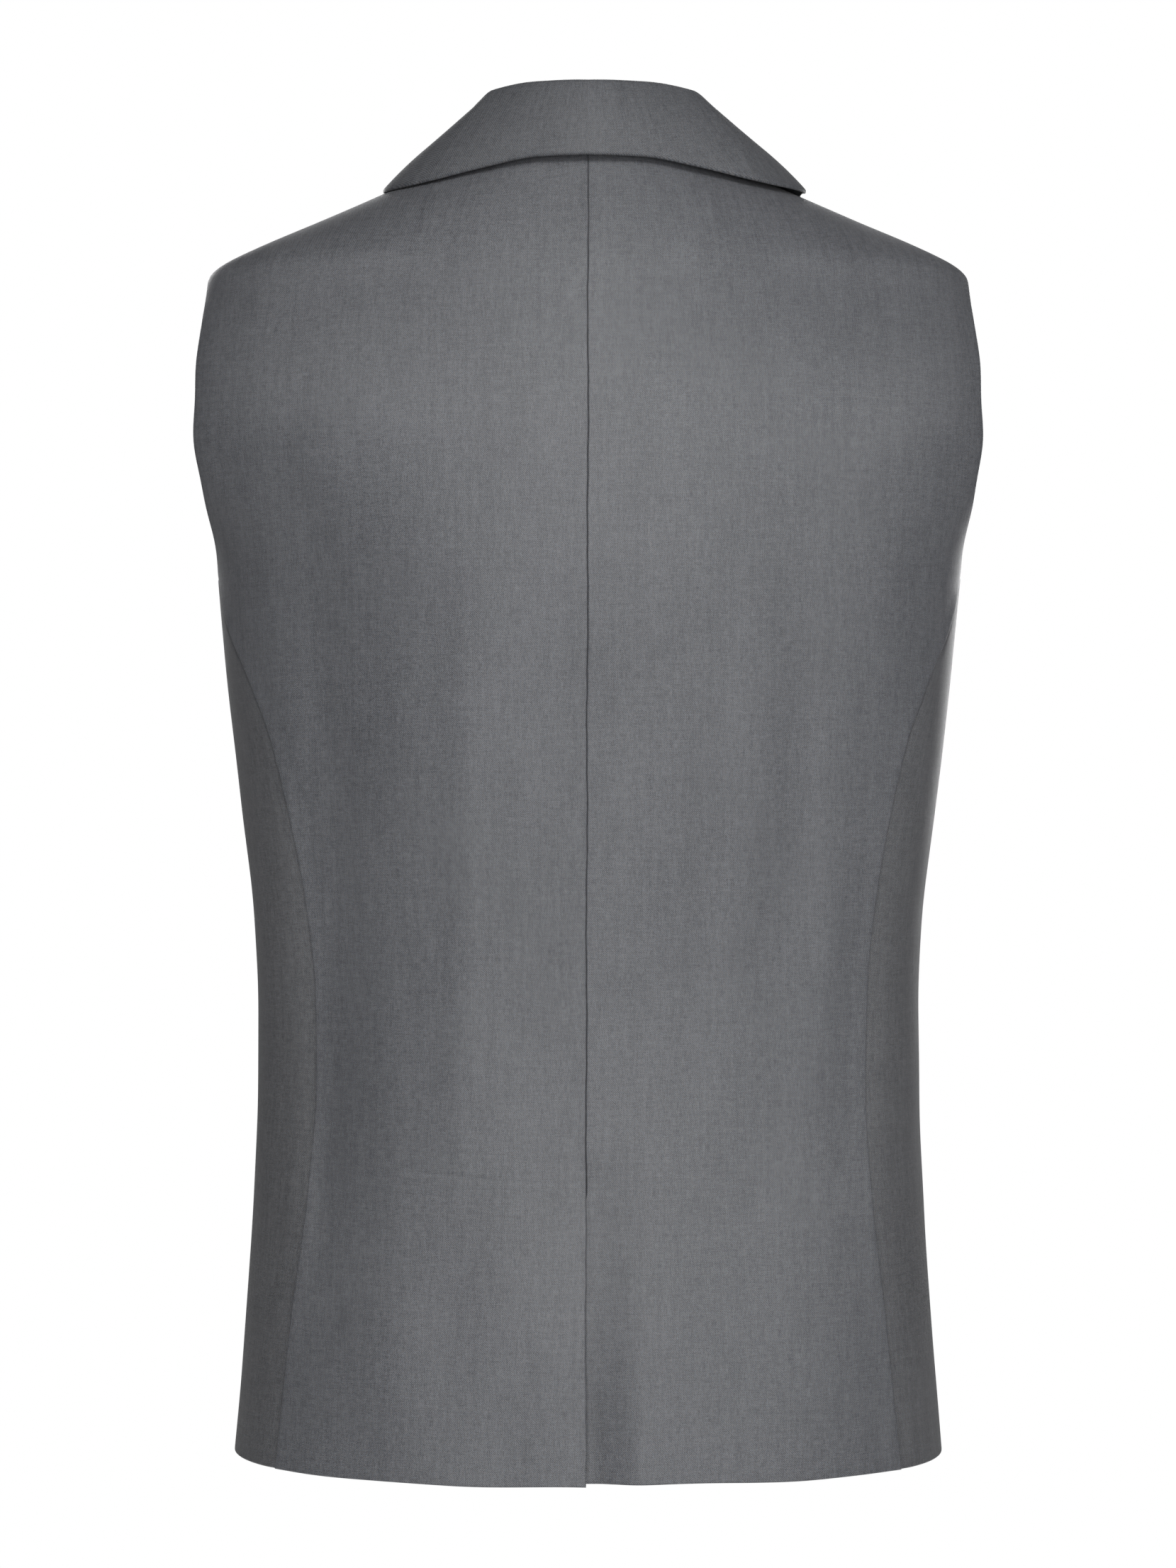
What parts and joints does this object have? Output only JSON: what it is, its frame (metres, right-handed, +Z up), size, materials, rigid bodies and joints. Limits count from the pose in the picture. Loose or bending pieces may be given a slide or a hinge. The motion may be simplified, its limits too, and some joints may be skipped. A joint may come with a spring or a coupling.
{
  "type": "suit waistcoat",
  "caption": "Grey sleeveless tailored jacket, filled out as worn, with a turned-down collar, lapels, shaped panels, a buttoned front and a centre-back vent.",
  "frame": {"origin": "midway between the two points where the shoulder seams meet the collar, where the wearer's shoulders carry the garment", "axes": "+Z up along the garment's length, +Y towards the back, +X to the wearer's left"},
  "size_m": [0.408, 0.2389, 0.7102],
  "materials": {
    "suiting": "fine twill with a soft lustre",
    "collar_cloth": "fine twill, pressed",
    "horn": "satin, horn look"
  },
  "bodies": {
    "root": {"back_left": "suiting", "back_right": "suiting", "side_left": "suiting", "side_right": "suiting", "front_left": "suiting", "front_right": "suiting", "lapel_left": "suiting", "lapel_right": "suiting", "collar": "collar_cloth", "button_1": "horn", "button_2": "horn", "button_3": "horn"}
  },
  "joints": []
}
